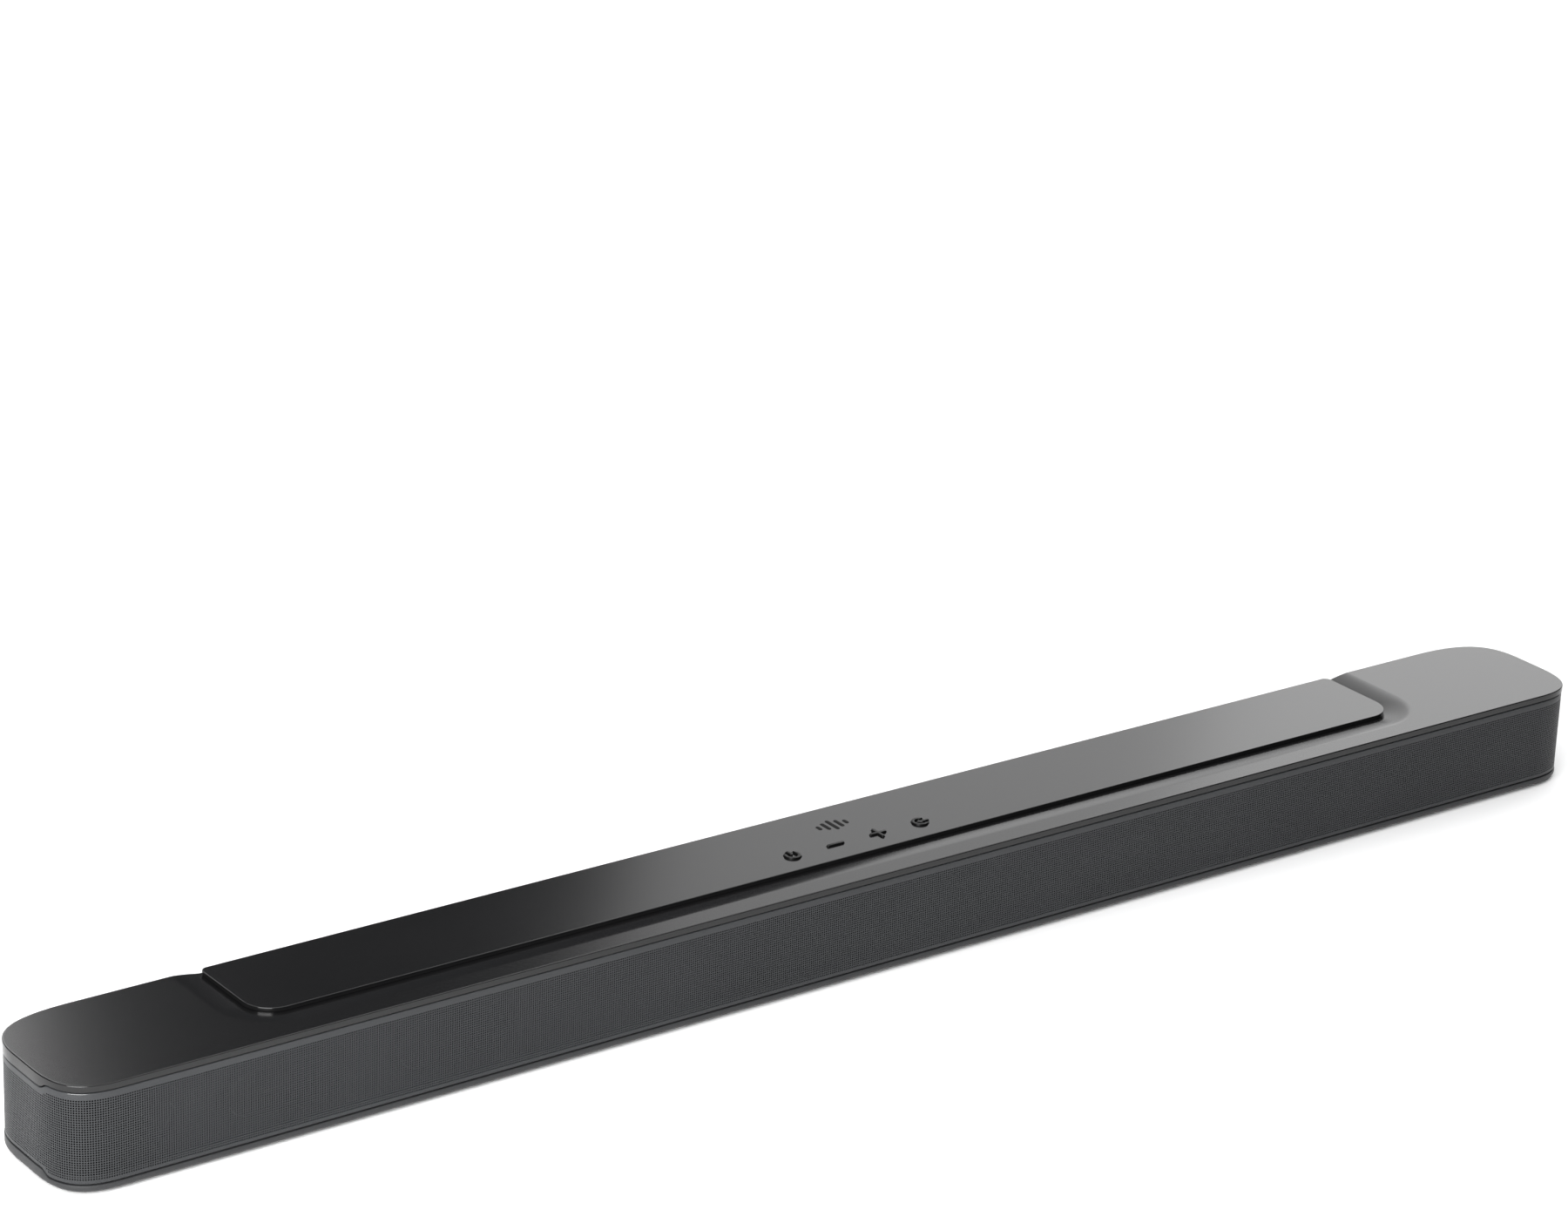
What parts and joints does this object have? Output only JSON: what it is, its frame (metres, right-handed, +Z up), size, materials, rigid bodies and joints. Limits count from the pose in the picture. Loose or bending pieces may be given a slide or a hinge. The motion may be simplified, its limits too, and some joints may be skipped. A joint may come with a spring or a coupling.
{
  "type": "soundbar",
  "caption": "Long, low powered soundbar with a perforated grille wrapped round the front and ends, rounded corners, a raised control plate with press keys and a rear connector bay.",
  "frame": {"origin": "centre of the footprint on the surface the rubber feet stand on", "axes": "+X along the length, the front grille faces -Y, the rear panel faces +Y, +Z up"},
  "size_m": [0.965, 0.085, 0.058],
  "materials": {
    "cover_plastic": "satin dark plastic",
    "plate_plastic": "smooth satin plastic",
    "grille_metal": "satin perforated metal",
    "housing_plastic": "satin dark grey plastic",
    "rear_plastic": "fine textured plastic",
    "key_plastic": "gloss",
    "rubber": "matte",
    "board": "solder mask",
    "chip": "matte",
    "steel": "plated",
    "brass": "turned",
    "black_plastic": "matte",
    "aluminium": "extruded",
    "basket_steel": "painted pressed steel",
    "motor_steel": "zinc plated",
    "cone": "coated pulp",
    "foam": "foam rubber",
    "dome": "treated cloth",
    "display": "smoked lens",
    "winding": "taped winding",
    "capacitor": "sleeved"
  },
  "bodies": {
    "bar": {"top_cover": "cover_plastic", "control_plate": "plate_plastic", "front_grille": "grille_metal", "bottom_housing": "housing_plastic", "rear_panel": "rear_plastic", "connector_bay": "rear_plastic", "front_baffle": "black_plastic", "rubber_feet": "rubber", "emblem": "key_plastic", "key_board": "board", "key_switches": "steel", "display_board": "board", "led_display": "display", "ir_receiver": "display", "main_board": "board", "power_board": "board", "amp_board": "board", "board_chips": "chip", "wireless_module": "steel", "transformer": "winding", "capacitors": "capacitor", "heat_sink": "aluminium", "output_chokes": "chip", "ac_inlet": "black_plastic", "usb_port": "steel", "optical_port": "black_plastic", "hdmi_in_port": "steel", "hdmi_out_port": "steel", "mount_inserts": "brass", "housing_screws": "steel", "board_screws": "steel", "driver_screws": "steel", "driver_gaskets": "foam", "tweeter_bodies": "black_plastic", "tweeter_domes": "dome", "woofer_baskets": "basket_steel", "woofer_motors": "motor_steel", "woofer_surrounds": "foam"},
    "power_button": {"power_key": "key_plastic", "power_plunger": "black_plastic"},
    "volume_down_button": {"volume_down_key": "key_plastic", "volume_down_plunger": "black_plastic"},
    "volume_up_button": {"volume_up_key": "key_plastic", "volume_up_plunger": "black_plastic"},
    "source_button": {"source_key": "key_plastic", "source_plunger": "black_plastic"},
    "optical_flap": {"optical_shutter": "black_plastic"},
    "woofer_cone_outer_left_body": {"woofer_cone_outer_left": "cone"},
    "woofer_cone_inner_left_body": {"woofer_cone_inner_left": "cone"},
    "woofer_cone_inner_right_body": {"woofer_cone_inner_right": "cone"},
    "woofer_cone_outer_right_body": {"woofer_cone_outer_right": "cone"}
  },
  "joints": [
    {"name": "power_press", "type": "slide", "parent": "bar", "child": "power_button", "axis": [0, 0, -1], "range_m": [0, 0.0006], "stiffness_N_per_m": 300, "springref_m": -0.001},
    {"name": "volume_down_press", "type": "slide", "parent": "bar", "child": "volume_down_button", "axis": [0, 0, -1], "range_m": [0, 0.0006], "stiffness_N_per_m": 300, "springref_m": -0.001},
    {"name": "volume_up_press", "type": "slide", "parent": "bar", "child": "volume_up_button", "axis": [0, 0, -1], "range_m": [0, 0.0006], "stiffness_N_per_m": 300, "springref_m": -0.001},
    {"name": "source_press", "type": "slide", "parent": "bar", "child": "source_button", "axis": [0, 0, -1], "range_m": [0, 0.0006], "stiffness_N_per_m": 300, "springref_m": -0.001},
    {"name": "optical_flap_hinge", "type": "hinge", "parent": "bar", "child": "optical_flap", "pos_m": [-0.01, 0.0223, 0.0224], "axis": [-1, 0, 0], "range_deg": [0, 80], "stiffness_Nm_per_rad": 0.0002, "springref_deg": -28.65},
    {"name": "woofer_cone_outer_left_travel", "type": "slide", "parent": "bar", "child": "woofer_cone_outer_left_body", "axis": [0, -1, 0], "range_m": [-0.002, 0.002], "stiffness_N_per_m": 1000},
    {"name": "woofer_cone_inner_left_travel", "type": "slide", "parent": "bar", "child": "woofer_cone_inner_left_body", "axis": [0, -1, 0], "range_m": [-0.002, 0.002], "stiffness_N_per_m": 1000},
    {"name": "woofer_cone_inner_right_travel", "type": "slide", "parent": "bar", "child": "woofer_cone_inner_right_body", "axis": [0, -1, 0], "range_m": [-0.002, 0.002], "stiffness_N_per_m": 1000},
    {"name": "woofer_cone_outer_right_travel", "type": "slide", "parent": "bar", "child": "woofer_cone_outer_right_body", "axis": [0, -1, 0], "range_m": [-0.002, 0.002], "stiffness_N_per_m": 1000}
  ]
}
